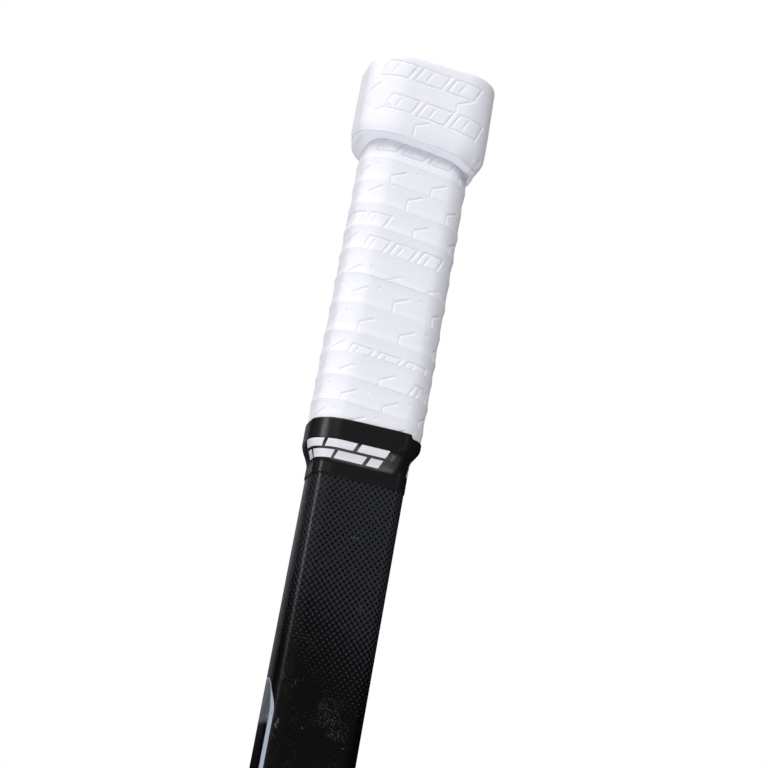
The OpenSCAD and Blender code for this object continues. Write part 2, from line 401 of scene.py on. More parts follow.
def place(shader, source="Object"):
    """Object coordinates or the piece's own uv, both in metres, in the shader's tree."""
    return Signal(shader.id_data.nodes.new("ShaderNodeTexCoord").outputs[source])


def feed(shader, **signals):
    """Wires signals to the shader's inputs."""
    for key, signal in signals.items():
        signal.tree.links.new(signal.socket, shader.inputs[key.replace("_", " ")])


def bump(shader, height, depth_mm):
    """Lets a height from 0 to 1 raise the surface by depth_mm."""
    feed(shader, Normal=wire(height.tree, "ShaderNodeBump", {"Height": height, "Distance": depth_mm * MM})[0])


def dusty(colour, body, size, amount, shade):
    """Puts specks of a shade over a colour. size is in mm."""
    return mix_colour(place_group(speckle, body, Size_mm=size, Amount=amount)[0], colour, shade)


# %% [markdown]
# ## White grip tape
# The handle's tape is a soft, slightly tacky polymer strip, moulded with shallow outlines. Its
# colour is nearly flat, so what shows it is soft shading: a fine grain and a roughness that varies
# a little. The moulded marks are real geometry, made further down.

# %% Grip tape's material
def grip_material():
    """Cool white with specks of faint grime and a fine grain."""
    material, shader = new_material("white_grip_tape", (0.86, 0.87, 0.91), 0.5)
    here = place(shader)
    fine = place_group(grain, here, Size_mm=0.35, Slow_mm=9.0, Slow_share=0.6)[0]
    tone = dusty((0.875, 0.877, 0.95), here, 0.9, 0.02, (0.76, 0.77, 0.82))
    feed(shader, Base_Color=tone, Roughness=map_range(fine, 0.0, 1.0, 0.42, 0.6))
    bump(shader, fine, 0.02)
    return material


white_tape = grip_material()

# %% [markdown]
# ## Moulded marks on the tape
# The strip carries a row of three-armed corners, like the corners of a honeycomb, and now and then
# a group of slanted frames. They could be painted as bump, but real grooves also catch the light at
# the edges of the handle. A groove's depth falls off with the distance to the nearest line.

# %% Lines of the marks
CORNER_STEP = 13.9      # mm along the strip between three-armed corners
CORNER_ARMS = [(28, 5.2, 1.0), (152, 4.3, 0.16), (270, 3.2, 0.8)]      # degrees, mm, depth
PIN_PLACE = (-5.6, 3.2)     # mm from a corner to the pin mark beside it
FRAME_HEIGHT = 5.4      # mm
FRAME_SLANT = 0.5       # mm to the right per mm up
FRAME_GAP = 2.2         # mm between two frames of a group
DIVIDER_LEFT = 1.2      # mm from a frame's middle to the line that divides it
GROOVE_WIDTH = 0.26     # mm
GROOVE_DEPTH = 0.36     # mm


def corner_lines(x, y):
    """Three arms from (x, y), up to the right, up to the left and down, and a pin mark."""
    lines = []
    for angle, arm, depth in CORNER_ARMS:
        turn = math.radians(angle)
        lines.append(((x, y), (x + arm * math.cos(turn), y + arm * math.sin(turn)), depth))
    pin = (x + PIN_PLACE[0], y + PIN_PLACE[1])
    return lines + [(pin, (pin[0] + 0.1, pin[1]), 1.0)]


def frame_lines(x, y, length, height):
    """Closed slanted frame, as four lines, with its middle at (x, y)."""
    lean = FRAME_SLANT * height / 2
    corners = [(x - length / 2 - lean, y - height / 2), (x + length / 2 - lean, y - height / 2),
               (x + length / 2 + lean, y + height / 2), (x - length / 2 + lean, y + height / 2)]
    return [(start, end, 1.0) for start, end in zip(corners, corners[1:] + corners[:1])]


def group_lines(x, y, span):
    """Three slanted frames in a row from x, each divided by a slanted line."""
    share = span / 3
    lines = []
    for n in range(3):
        middle = x + (n + 0.5) * share
        lines += frame_lines(middle, y, share - FRAME_GAP, FRAME_HEIGHT)
        lean = FRAME_SLANT * FRAME_HEIGHT * 0.3
        divider, rise = middle - DIVIDER_LEFT, 0.3 * FRAME_HEIGHT
        lines.append(((divider - lean, y - rise), (divider + lean, y + rise), 0.8))
    return lines


def groove(x, y, lines):
    """Depth at the points (x, y): a line's own depth on it, fading as exp(-(distance / width)^2)."""
    depth = np.zeros(x.shape)
    reach = 4 * GROOVE_WIDTH
    for (ax, ay), (bx, by), full in lines:
        near = ((x > min(ax, bx) - reach) & (x < max(ax, bx) + reach)
                & (y > min(ay, by) - reach) & (y < max(ay, by) + reach))
        px, py, dx, dy = x[near] - ax, y[near] - ay, bx - ax, by - ay
        along = np.clip((px * dx + py * dy) / (dx * dx + dy * dy), 0, 1)
        gap = np.hypot(px - along * dx, py - along * dy)
        depth[near] = np.maximum(depth[near], full * np.exp(-(gap / GROOVE_WIDTH) ** 2))
    return depth


# %% [markdown]
# ## Handle: the wound strip
# The tape goes round and round the handle. Each turn's upper edge lies on top of the turn above, so
# every edge is a small step that stands out and then sinks back. Hand winding isn't even: some turns
# show 6 mm and others 10 mm, and a taut strip draws in at the shaft's corners. Stacked rings would
# be simpler, but they would lie level and the real turns don't. So the strip is one ribbon along a
# helix, cut in three only to keep each mesh light.

# %% How the strip is wound
FIRST_EDGE = -22.0                  # mm, upper edge of the turn hidden in the knob
SHOWING = [8, 8, 8, 8, 8, 8, 9, 10, 9.5, 6, 9, 8, 9]                        # mm of each turn
LIP = [0.25, 0.25, 0.32, 0.2, 0.36, 0.42, 0.28, 0.42, 0.3, 0.44, 0.26, 0.4, 0.3, 0.0]     # mm
LIP_RUN = 3.6                       # mm over which a lip sinks back
TUCK = 0.8                          # mm of each turn under the next one's lip
COUNT_FROM = 15.0                   # mm round the handle where a turn is counted whole
CROWN, PULLED_IN = 0.3, 0.85        # mm, the taut strip stands up on the flats and draws in at the corners
GRIP_END = float(grip_low[2]) + 0.5
GRIP_ROUND = perimeter(GRIP_GROW)
turns = np.arange(len(LIP)) - 1
edges = FIRST_EDGE - np.concatenate([[0], np.cumsum(SHOWING)])
# turn counts, and how far below the edge the corners lie there
ROW_TURN = [-1, 0.8, 1.85, 2.9, 4.0, 4.8, 5.8, 6.8, 8.8, 9.8, 12]
ROW_DEPTH = [5.0, 5.3, 3.8, 5.2, 5.0, 8.6, 6.1, 6.2, 6.4, 5.9, 5.0]         # mm
# a corner's number along the strip, and how far the marks have crept by there
CREEP_AT, CREEP = [0, 7, 13, 53, 67, 75], [-0.4, -0.4, 2.3, 1.9, 4.1, 2.6]  # mm
# groups of frames: turns from the first edge, and the depth of their middle below the edge
GROUPS = [(-0.29, 2.4), (1.2, 4.6), (2.534, 5.8), (3.72, 6.0), (5.22, 4.6), (6.2, 4.6), (7.73, 6.8),
          (8.94, 7.2), (10.22, 4.6)]
GROUP_SPAN = 28.0                   # mm


def strip_lines():
    """All marks along the strip: a corner each step, except where a group of frames lies."""
    starts = [(turn * GRIP_ROUND, depth) for turn, depth in GROUPS]
    lines = [line for start, depth in starts for line in group_lines(start, -depth, GROUP_SPAN)]
    for n in range(-6, 92):
        x = n * CORNER_STEP + np.interp(n, CREEP_AT, CREEP)
        if all(x < start - 4 or x > start + GROUP_SPAN + 2 for start, _ in starts):
            lines += corner_lines(x, -np.interp(x / GRIP_ROUND, ROW_TURN, ROW_DEPTH))
    return lines


# %% Shape of the strip
def wave(x, z, strength, length):
    """Slow unevenness of hand-wound tape: three crossed sine waves, even over a length round it."""
    turn = 2 * math.pi * x / length
    waves = np.sin(4 * turn + z / 7.1) + np.sin(2 * turn - z / 4.3 + 2) + np.sin(turn + z / 6.1 + 4)
    return strength * waves / 3


def grip_end(place_round):
    """Height at which the wound tape ends: its cut end lies higher on the right-hand side."""
    return GRIP_END + 5 * smooth_step(8, 17, place_round) * (1 - smooth_step(26, 42, place_round))


def strip_rings(first, last, lines, step=0.26, across=40):
    """Rings of the ribbon between two turn counts.

    Across the strip, depth below the edge grows from 0. The surface stands out by the lip at the
    edge, sinks back over LIP_RUN as a parabola, rises again towards the next turn's lip, and drops
    to run on under it. A ring closes along the strip's underside, which clears the turn above
    near the lip and rests on the layer below after it."""
    turn = np.linspace(first, last, int((last - first) * GRIP_ROUND / step))[:, None]
    edge, lip = np.interp(turn, turns, edges), np.interp(turn, turns, LIP)
    place_round = np.mod(turn * GRIP_ROUND + COUNT_FROM + 45, GRIP_ROUND) - 45
    shows = edge - np.interp(turn + 1, turns, edges, right=edges[-1])
    shows = np.minimum(shows, edge - grip_end(place_round))
    below = np.concatenate([[0, 0.04, 0.14, 0.3], np.linspace(0.55, 1, across - 4)])
    below = np.where(below < 0.5, below, 0.55 + (below - 0.55) / 0.45 * (shows + TUCK - 0.55))
    along = turn * GRIP_ROUND + 0 * below
    next_lip = np.interp(turn + 1, turns, LIP, right=0)
    sunk = lip * np.clip(1 - below / LIP_RUN, 0, 1) ** 2
    rise = 0.8 * next_lip * smooth_step(-2.6, 0, below - shows)
    top = GRIP_GROW + np.maximum(sunk, rise) - 0.04 * np.exp(-below / 0.05)
    top = top - GROOVE_DEPTH * groove(along, -below, lines)
    top = top + wave(along, edge - below, 0.06, GRIP_ROUND * 1.07)
    top = np.where(below > shows, GRIP_GROW + 0.8 * next_lip - 0.3, top)
    under_at = np.array([1, 0.6, 0.3, 1.3, 0.9, 0])
    under_at = np.where(np.arange(6) < 3, under_at * (shows + TUCK), under_at + 0 * shows)
    under = np.where(under_at < 1, GRIP_GROW + lip - 0.22, 1.3)
    grow = np.concatenate([top, under], axis=1)
    depth = np.concatenate([below, under_at], axis=1)
    distance = turn * GRIP_ROUND + COUNT_FROM
    x, y = around(distance + 0 * grow, grow + CROWN - PULLED_IN * at_corner(distance, GRIP_GROW), GRIP_GROW)
    return np.stack([x, y, edge - depth], -1)


# %% Wind the handle
marks = strip_lines()
WOUND = [-0.55, 3.36, 7.36, 11.95]      # turn counts at which the ribbon is cut, at the back
for part, first, last in zip(("upper", "middle", "lower"), WOUND, WOUND[1:]):
    piece = sweep(f"grip_winding_{part}", strip_rings(first, last, marks), white_tape)
    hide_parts("grip_tape")

# %% [markdown]
# ## Knob
# Above the handle the same tape goes round a fat roll, folds over the top rim and, at the bottom,
# ends in an edge with a rounded ledge under it. A lathe would do for a round knob, but this one
# follows the shaft's outline, so one profile is carried round it.

# %% Knob's profile and relief
RIM = -28.6         # mm, the lower edge of the knob's last turn at the middle of the front
TOP = float(grip_high[2]) + 0.7     # the folded tape swells a little over the rim
RIM_RADIUS = 1.4                    # mm, rounding of the folded rim
ROUND_AT = [-67.5, -45, -34, -29, -20, -12, 0, 8, 15, 19, 30, 50, 67.5]             # mm round the knob
RIM_AT = [-25.5, -23.6, -24.6, -25.8, -27.6, -28.2, -28.8, -29.4, -30.5, -30.8, -29.3, -27.5, -25.5]
FOOT_AT = [-30, -29.7, -29.7, -29.5, -28.7, -28.9, -29.9, -30.8, -32.2, -32.7, -30.8, -30.2, -30]
KNOB_ROUND = perimeter(KNOB_GROW)
KNOB_GROUPS = [(-20.0, -6.3), (-17.0, -18.2)]       # mm, start round the knob and height
KNOB_SPAN = 35.0                                    # mm, length of a group on the knob
KNOB_CORNERS = [(-24.6, -14.3), (-19.8, -22.0), (-5.6, -24.4), (7.2, -12.0), (24.5, -6.0), (31.5, -15.0)]
KNOB_DROP = 0.06                                    # fall of the marks' rows, mm per mm round
KNOB_PITCH = 9.5                                    # mm from one turn's edge to the next
# folds where the strip's end is pressed down: rise, place round, half breadth, height, half height
PUCKERS = [(0.45, 18.2, 1.0, -27.2, 1.1), (0.4, 22.4, 0.9, -26.6, 1.6), (-0.5, 20.3, 0.7, -27.9, 1.4)]
WALL = np.linspace(-1.9, RIM + 0.15, 104)           # mm, heights of the wall's points
ROLL = np.linspace(0, 1, 15)                        # shares of the way down the ledge


def knob_lines():
    """Marks of the knob: two groups of frames, with corners between and round the back."""
    lines = [line for start, height in KNOB_GROUPS for line in group_lines(start, height, KNOB_SPAN)]
    lines += [line for x, height in KNOB_CORNERS for line in corner_lines(x, height)]
    for n in range(5):
        for height in (-8.0, -16.0, -23.0):
            lines += corner_lines(40 + 15 * n + height / 2, height)
    return lines


def round_curve(distance, values):
    """A value round the knob, taken from the table and averaged over 5 mm so that it has no kinks."""
    shifts = np.linspace(-2.5, 2.5, 5)
    turn = np.mod(distance[..., None] + shifts + KNOB_ROUND / 2, KNOB_ROUND) - KNOB_ROUND / 2
    return np.interp(turn, ROUND_AT, values).mean(-1)


def knob_grow(distance, z):
    """Growth of the knob's wall: full, drawn in towards its lower edge, with faint turns and puckers."""
    slope = z + KNOB_PITCH * distance / KNOB_ROUND
    drawn_in = 0.55 * np.clip((-24.6 - z) / 4, 0, 1) ** 2
    right_side = smooth_step(8, 17, distance) * (1 - smooth_step(30, 40, distance))
    drawn_in = drawn_in + 1.5 * right_side * np.clip((-23.5 - z) / 6, 0, 1) ** 2
    down_turn = np.mod(-slope - 4.0, KNOB_PITCH)
    turn_edge = 0.04 * (1 - smooth_step(0, 5, down_turn)) * smooth_step(0, 0.6, down_turn)
    grow = KNOB_GROW - drawn_in + turn_edge + wave(distance, z, 0.12, KNOB_ROUND)
    for rise, place_round, breadth, height, tall in PUCKERS:
        grow = grow + rise * np.exp(-((distance - place_round) / breadth) ** 2 - ((z - height) / tall) ** 2)
    return grow


# %% Wrap the knob
def knob_rings(lines, step=0.3):
    """One loop per place round the knob: wall, edge, ledge, and back up inside past the core."""
    distance = (np.arange(int(KNOB_ROUND / step)) * KNOB_ROUND / int(KNOB_ROUND / step)
                - KNOB_ROUND / 2)[:, None]
    wall = knob_grow(distance, WALL)
    wall = wall - GROOVE_DEPTH * groove(distance + 0 * WALL, WALL + KNOB_DROP * distance, lines)
    rim_at, foot_at = round_curve(distance, RIM_AT), round_curve(distance, FOOT_AT)
    wall_z = WALL + (rim_at - RIM) * smooth_step(14, -RIM, -WALL)
    edge = wall[:, -1:] + np.array([[0.1, 0.0, -0.28]])
    edge_z = rim_at + np.array([[0.0, -0.1, -0.05]])
    reach = wall[:, -1:] - 0.3 - GRIP_GROW
    full = 1 - 0.85 * np.exp(-(distance / 17) ** 4)
    ledge = GRIP_GROW + 0.1 + reach * (1 - ROLL ** (1 + 1.4 * full))
    ledge = ledge + wave(distance, 9 * ROLL, 0.08, KNOB_ROUND)
    ledge_z = rim_at - 0.12 + (foot_at - rim_at + 0.12) * ROLL ** (1 / (1 + 0.5 * full))
    core = KNOB_GROW - 1.25
    inside = np.array([[GRIP_GROW, GRIP_GROW, core, core, 2.1]])
    inside_z = np.array([[RIM + 0.6, RIM + 1.35, RIM + 1.35, TOP - 1.8, TOP - 1.8]])
    every = np.zeros_like(distance)
    bend = np.linspace(0, math.pi / 2, 8, endpoint=False)
    turned = wall[:, :1] - RIM_RADIUS + RIM_RADIUS * np.sin(bend)
    rim = np.concatenate([np.array([[2.1, 3.2, 4.4]]) + every, turned], axis=1)
    rim_z = np.concatenate([[TOP, TOP, TOP], TOP - RIM_RADIUS + RIM_RADIUS * np.cos(bend)])[None]
    grow = np.concatenate([wall, edge, ledge, inside + every, rim], axis=1)
    z = np.concatenate([wall_z, edge_z, ledge_z, inside_z + every, rim_z + every], axis=1)
    x, y = around(distance + 0 * grow, grow, KNOB_GROW)
    return np.stack([x, y, z], -1)


knob = sweep("grip_winding_knob", knob_rings(knob_lines()), white_tape, closed=True)
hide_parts("grip_tape")

# %% [markdown]
# ## Finishing tape
# A thin black vinyl band holds the grip's lower end. It lies on the grip tape, comes down over its
# end and is stuck to the shaft, and its last turn ends in a seam at the front's right corner. The
# pale print on it is slanted blocks in two courses, like a brick wall. The material draws them in the
# band's own uv, because ink has no thickness to model.

# %% Print group: slanted blocks
BLOCK_PERIOD = 65.5         # mm round the stick from one pair of courses to the next
BLOCK_LEAN = 0.42           # mm to the side per mm down
# shares of the print's height that a course fills, and its blocks in mm along it
COURSES = [((0.0, 0.43), [(0.0, 9.4), (10.7, 20.2), (21.5, 30.8)]),
           ((0.57, 1.0), [(0.0, 4.0), (5.3, 14.8), (16.1, 25.5), (26.8, 30.8)])]


def make_blocks():
    """Mask of slanted blocks laid like bricks in two courses, then a rest."""
    group, here, top, tall, start = new_group("slanted_blocks", Top_mm=0.0, Height_mm=5.6, Start_mm=0.0)
    u, v = xy(here)
    down = top - v * 1000.0
    level = down / tall
    x = (u * 1000.0 - start + down * BLOCK_LEAN) % BLOCK_PERIOD
    courses = [between(level, *rows) * total([between(x, *block) for block in blocks_in])
               for rows, blocks_in in COURSES]
    return close_group(group, Mask=total(courses))


blocks = make_blocks()


def band_material():
    """Black vinyl with the pale print, faint dust and a soft unevenness."""
    material, shader = new_material("black_finishing_tape", (0.01, 0.01, 0.011), 0.25)
    body = place(shader)
    printed = place_group(blocks, place(shader, "UV"), Top_mm=-131.9, Height_mm=5.6, Start_mm=-24.4)[0]
    fine = place_group(grain, body, Size_mm=0.5, Slow_mm=5.0, Slow_share=2.0)[0]
    black = dusty((0.0105, 0.0105, 0.0115), body, 0.7, 0.05, (0.03, 0.03, 0.033))
    pale = mix_colour(fine, (0.6, 0.6, 0.66), (0.82, 0.82, 0.88))
    feed(shader, Base_Color=mix_colour(printed, black, pale))
    bump(shader, fine, 0.03)
    return material


# %% Shape of the band
SEAM = 12.7             # mm round the band where its last turn ends
BAND_GROW = (band_high[0] - band_low[0] - SHAFT[0]) / 2
BAND_ROUND = perimeter(BAND_GROW)
BAND_TOP, BAND_LOW = float(band_high[2]), float(band_low[2])


def band_grow(distance, z):
    """Outer growth: over the grip's end, then down to the shaft, with the last turn's extra ply."""
    after_seam = np.mod(distance - SEAM, BAND_ROUND)
    ply = 0.22 * smooth_step(0, BAND_ROUND, after_seam) + 0.1
    side = smooth_step(8, 17, distance) * (1 - smooth_step(26, 42, distance))
    fall = smooth_step(131.5 - 5 * side, 139 - 5 * side, -z)
    ridge = np.exp(-((distance - 9.6 - 0.45 * (z + 131)) / 0.7) ** 2) * np.exp(-((z + 132.4) / 3.0) ** 2)
    fold = np.exp(-((distance - 6.5 + 0.9 * (z + 134)) / 0.8) ** 2) * np.exp(-((z + 134.5) / 2.0) ** 2)
    over_grip = GRIP_GROW + 0.3 - (CROWN + 0.4) * at_corner(distance, BAND_GROW)
    relief = 0.2 * ridge + 0.12 * fold + wave(distance, z, 0.05, BAND_ROUND)
    return over_grip * (1 - fall) + FILM_GROW + ply + relief


def band_rings(rows=64):
    """Loops across the band: down the outside, and back up the inside a ply thinner."""
    even = np.linspace(0, BAND_ROUND, 420, endpoint=False)
    after_seam = np.sort(np.concatenate([even, [0.02, 0.12, BAND_ROUND - 0.02, BAND_ROUND - 0.12]]))[:, None]
    distance = SEAM - BAND_ROUND + after_seam
    z = np.linspace(BAND_TOP, BAND_LOW, rows)
    wavy = wave(distance, 0, 0.3, BAND_ROUND)
    outer = band_grow(np.mod(distance + 40, BAND_ROUND) - 40, z)
    outer = outer - 0.05 * (np.arange(rows) == 0) - 0.05 * (np.arange(rows) == rows - 1)
    lower_top = 1.1 * (1 - after_seam / BAND_ROUND) * smooth_step(-1, 1, 2 * after_seam - 1)
    height = z + wavy * smooth_step(-BAND_LOW - 5, -BAND_LOW, -z)
    height = height - lower_top * smooth_step(-8, 0, z - BAND_TOP)
    grow = np.concatenate([outer, np.maximum(outer[:, ::-3] - 0.3, FILM_GROW + 0.02)], axis=1)
    heights = np.concatenate([height, height[:, ::-3]], axis=1)
    x, y = around(distance + 0 * grow, grow, BAND_GROW)
    uv = np.stack([distance + 0 * grow, heights], -1)
    return np.stack([x, y, heights], -1), uv


rings, uv = band_rings()
band = sweep("finishing_band", rings, band_material(), closed=True, uv=uv, uv_turn=(BAND_ROUND, 0))
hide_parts("finishing_tape")

# %% [markdown]
# ## Printed shaft
# Under its clear coat the shaft carries a print: charcoal with a screen of black dots that grow
# until only specks are left, and on one narrow side a panel with a light outline. Dots can be
# modelled or drawn; they are ink, so the material draws them. Two crossed cosines have their peaks
# on a diamond lattice, and a threshold that changes along the shaft makes the dots grow.

# %% Halftone group
DOT_EDGE = 3.6          # steepness of a dot's edge


def make_halftone():
    """Mask of black ink: the sum of two crossed cosines is above a threshold."""
    group, here, threshold, across, down = new_group(
        "halftone", Threshold=0.0, Across_mm=1.914, Down_mm=2.155)
    x, y = xy(here)
    right, along = x / (across * MM) * (2 * math.pi), y / (down * MM) * (2 * math.pi)
    over = maths("COSINE", right + along) + maths("COSINE", right - along) - threshold
    return close_group(group, Mask=maths("MULTIPLY_ADD", over, DOT_EDGE, 0.5, clamp=True))


# %% Panel group: the side panel's outline and fill
def make_panel():
    """Distance from a rounded panel's edge, in mm: positive inside.

    The panel is centred at Middle mm round the shaft and Height mm along it. It reaches Half
    breadth and Half length from there, and its corners are arcs."""
    group, here, middle, height, half_breadth, half_length, corner = new_group(
        "panel", Middle_mm=0.0, Height_mm=0.0, Half_breadth=8.0, Half_length=100.0, Corner_mm=6.0)
    u, v = xy(here)
    side = half_breadth - maths("ABSOLUTE", u * 1000.0 - middle)
    down = half_length - maths("ABSOLUTE", v * 1000.0 - height)
    to_x = maths("MAXIMUM", corner - side, 0.0)
    to_y = maths("MAXIMUM", corner - down, 0.0)
    arc = corner - maths("SQRT", to_x * to_x + to_y * to_y)
    straight = maths("MINIMUM", maths("MINIMUM", side, down), corner)
    return close_group(group, Inside=mix_value(to_x * to_y > 0.0, straight, arc))


halftone, panel = make_halftone(), make_panel()

# %% Measures of the shaft's print
INK_BLACK, INK_GREY, INK_LINE = (0.0018, 0.0018, 0.0022), (0.025, 0.0265, 0.0325), (0.36, 0.41, 0.5)
# the second grey is both the scuffs' colour and the colour of painted highlights on the front-left corner
PANEL_GREY, SCUFF_AND_HIGHLIGHT_GREY = (0.16, 0.165, 0.19), (0.2, 0.21, 0.24)
FADE = [(-143.0, 0.62), (-183.0, 0.0), (-210.0, -2.0)]     # mm along the shaft, threshold
FADE_LEAN = 0.75        # mm of height per mm round the shaft
PANEL_TOP, PANEL_LOW, PANEL_LEAN = -206.6, -500.0, 0.3     # mm, mm, rise towards the back per mm
PANEL_HALF, PANEL_CORNER = 8.8, 8.4                        # mm, half breadth and corner radius
LINE_AT, LINE_WIDTH = (-204.5, -214.5), (0.25, 1.75)       # mm, the line widens between two heights
FILL_FADE = (-221.2, -219.0)                               # mm, the fill is gone below the first
# middle round the shaft, height, half breadth, half length in mm, and strength: scuffs and scratches, and at
# -12.3 to -12.8 mm round, on the front-left corner, painted highlights
SCUFFS_AND_HIGHLIGHTS = [(2.5, -214.5, 5.0, 5.5, 0.17), (6.0, -219.0, 5.0, 4.0, 0.15), (-12.8, -206.2, 0.5, 2.6, 0.6),
          (-12.3, -202.4, 1.4, 0.15, 0.7), (-12.3, -220.3, 0.8, 2.2, 0.5), (-12.8, -224.4, 0.9, 1.3, 0.5),
          (1.2, -160.5, 2.2, 0.18, 0.8), (-8.4, -186.5, 0.9, 0.2, 0.7), (-4.3, -220.3, 0.4, 0.2, 0.8),
          (9.0, -224.0, 0.5, 0.5, 0.7), (12.6, -140.8, 0.35, 0.5, 1.0)]


# %% Shaft print's material
def screen(here, marks):
    """The ink's mask. The threshold runs evenly between marks, on a line that leans across the front."""
    x, y = xy(here)
    height = (y + x * FADE_LEAN) * 1000.0
    threshold = total([map_range(height, z_start, z_end, start, end)
                       for (z_start, start), (z_end, end) in zip(marks, marks[1:])])
    return place_group(halftone, here, Threshold=threshold)[0]


def outlined_panel(colour, here, body):
    """Adds the narrow side's panel: a light line that widens down from its top, and a stippled grey
    within it that fades downwards."""
    middle = -perimeter(0) / 4
    x, y = xy(here)
    leaning = wire(here.tree, "ShaderNodeCombineXYZ",
                   {"X": x, "Y": y + (x * PANEL_LEAN + -PANEL_LEAN * middle * MM)})[0]
    inside = place_group(panel, leaning, Middle_mm=middle, Height_mm=(PANEL_TOP + PANEL_LOW) / 2,
                         Half_breadth=PANEL_HALF, Half_length=(PANEL_TOP - PANEL_LOW) / 2,
                         Corner_mm=PANEL_CORNER)[0]
    stipple = place_group(speckle, body, Size_mm=0.35, Amount=0.32)[0]
    within = inside > map_range(y, LINE_AT[0] * MM, LINE_AT[1] * MM, *LINE_WIDTH)
    fill = within * ramp(y, FILL_FADE[0] * MM, FILL_FADE[1] * MM) * (stipple * 0.55 + 0.45)
    line = maths("SUBTRACT", ramp(inside, 0.0, 0.12), within, clamp=True)
    return mix_colour(line, mix_colour(fill, colour, PANEL_GREY), INK_LINE)


def scuffed_and_highlit(colour, here, body, patches):
    """Adds patches of fine pale specks: scuffs and scratches, and painted highlights on the front-left
    corner. A patch is its middle and half sizes in mm, and its strength.
    """
    x, y = (part * 1000.0 for part in xy(here))
    specks = place_group(speckle, body, Size_mm=0.45, Amount=0.24)[0]
    for u, v, half_u, half_v, strength in patches:
        across, along = (x - u) / half_u, (y - v) / half_v
        patch = ramp(across * across + along * along, 1.0, 0.1) * specks * strength
        colour = mix_colour(patch, colour, SCUFF_AND_HIGHLIGHT_GREY)
    return colour


def upper_print_material():
    """Charcoal with the screen of dots, the side panel, dust and faint scratches under the coat, and painted
    highlights on the front-left corner.
    """
    material, shader = new_material("upper_print", INK_BLACK, 0.3, Specular_IOR_Level=0.38)
    here, body = place(shader, "UV"), place(shader)
    ink = screen(here, FADE)
    colour = outlined_panel(mix_colour(ink, INK_GREY, INK_BLACK), here, body)
    # pale speck patches: scuffs and scratches, with painted highlights on the front-left corner
    colour = dusty(scuffed_and_highlit(colour, here, body, SCUFFS_AND_HIGHLIGHTS), body, 0.32, 0.11, (0.06, 0.063, 0.073))
    wear = place_group(grain, body, Size_mm=0.8, Slow_mm=14.0, Slow_share=1.0)[0]
    feed(shader, Base_Color=colour, Roughness=ink * 0.08 + 0.2)
    bump(shader, wear - ink * 0.5, 0.012)
    return material


# %% Shape of a printed or bare length
TAPER_TOP, JOINT = -1080.0, float(tube_low[2])      # mm, the taper's ends
FOOT = (25.0, 17.0, 4.5)                            # mm, width, depth and corner radius at the joint
TUBE_WALL = 1.4                                     # mm


def size_at(z):
    """Outline of the shaft at a height: it narrows evenly from the taper's top to the joint."""
    share = min(max((TAPER_TOP - z) / (TAPER_TOP - JOINT), 0), 1)
    return tuple(a + (b - a) * share for a, b in zip(SHAFT, FOOT))


def corner_stations(per_corner=16, per_flat=6):
    """Shares of the way round from the back's middle, close together in the corners."""
    marks = outline_marks(SHAFT, 0)[0]
    counts = [per_flat if n % 2 == 0 else per_corner for n in range(9)]
    runs = [np.linspace(a, b, c, endpoint=False) for a, b, c in zip(marks, marks[1:], counts)]
    share = np.concatenate(runs) / marks[-1]
    return np.sort(np.mod(share + 0.5, 1) - 0.5)


def sleeve(name, heights, grow, thick, material, crown=0.0):
    """A thin tube round the shaft between two heights, with uv in mm round it and along it.

    crown is how far the corners stay below the middle of each narrow side, which bulges slightly."""
    share = corner_stations(per_flat=12 if crown else 6)
    from_side = np.abs(np.abs(share) - 0.25) * perimeter(0)
    bulge = crown * np.clip(1 - (from_side / (SHAFT[1] / 2 - SHAFT[2])) ** 2, 0, 1)
    rows = []
    for wall, order in ((grow - crown + bulge, heights), (grow - thick, heights[::-1])):
        for z in order:
            distance = share * perimeter(0, size_at(z))
            x, y = around(distance, wall + 0 * distance, 0, size_at(z))
            rows.append(np.stack([x, y, z + 0 * x, share * perimeter(0)], -1))
    grid = np.stack(rows, axis=1)
    uv = np.stack([grid[..., 3], grid[..., 2]], -1)
    return sweep(name, grid[..., :3], material, closed=True, uv=uv, uv_turn=(perimeter(0), 0))


# %% Print the handle's film
film_heights = np.linspace(float(film_high[2]), float(film_low[2]), 40)
upper_print = sleeve("upper_print", film_heights, FILM_GROW, FILM_GROW, upper_print_material(), crown=0.11)
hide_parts("upper_graphic_film")

# %% [markdown]
# ## Bare carbon
# Between the two prints the shaft shows its carbon: flat tows crossing at right angles under a clear
# coat. A picture of cloth would repeat and blur close up, so the weave is worked out: two sets of
# bands lie at 45 degrees, and each square shows the set whose turn it is in a two-over, two-under
# twill.

# %% Twill group
def make_twill():
    """Two-over, two-under twill from a flat position: which tow is on top, and its rounded height."""
    group, here, tow = new_group("twill", Tow_mm=2.0)
    x, y = xy(here)
    tow = tow * (MM * math.sqrt(2))
    a, b = (x + y) / tow, (x - y) / tow
    which = (maths("FLOOR", a) + maths("FLOOR", b)) % 4.0 < 1.5
    offs = [maths("FRACT", value) - 0.5 for value in (a, b)]
    heights = [maths("SUBTRACT", 1.0, off * off * 4.0) for off in offs]
    return close_group(group, Which=which, Height=mix_value(which, *heights))


twill = make_twill()


def carbon_material(name, source, tow=2.2):
    """Carbon cloth: tows of two darknesses under a clear coat, with dust."""
    material, shader = new_material(name, INK_BLACK, 0.3, Coat_Weight=0.6, Coat_Roughness=0.1)
    which, height = place_group(twill, place(shader, source), Tow_mm=tow)
    colour = mix_colour(which, (0.009, 0.009, 0.01), (0.022, 0.022, 0.025))
    colour = dusty(colour, place(shader), 0.5, 0.01, (0.14, 0.15, 0.16))
    feed(shader, Base_Color=colour, Roughness=which * 0.15 + 0.28)
    bump(shader, height, 0.03)
    return material


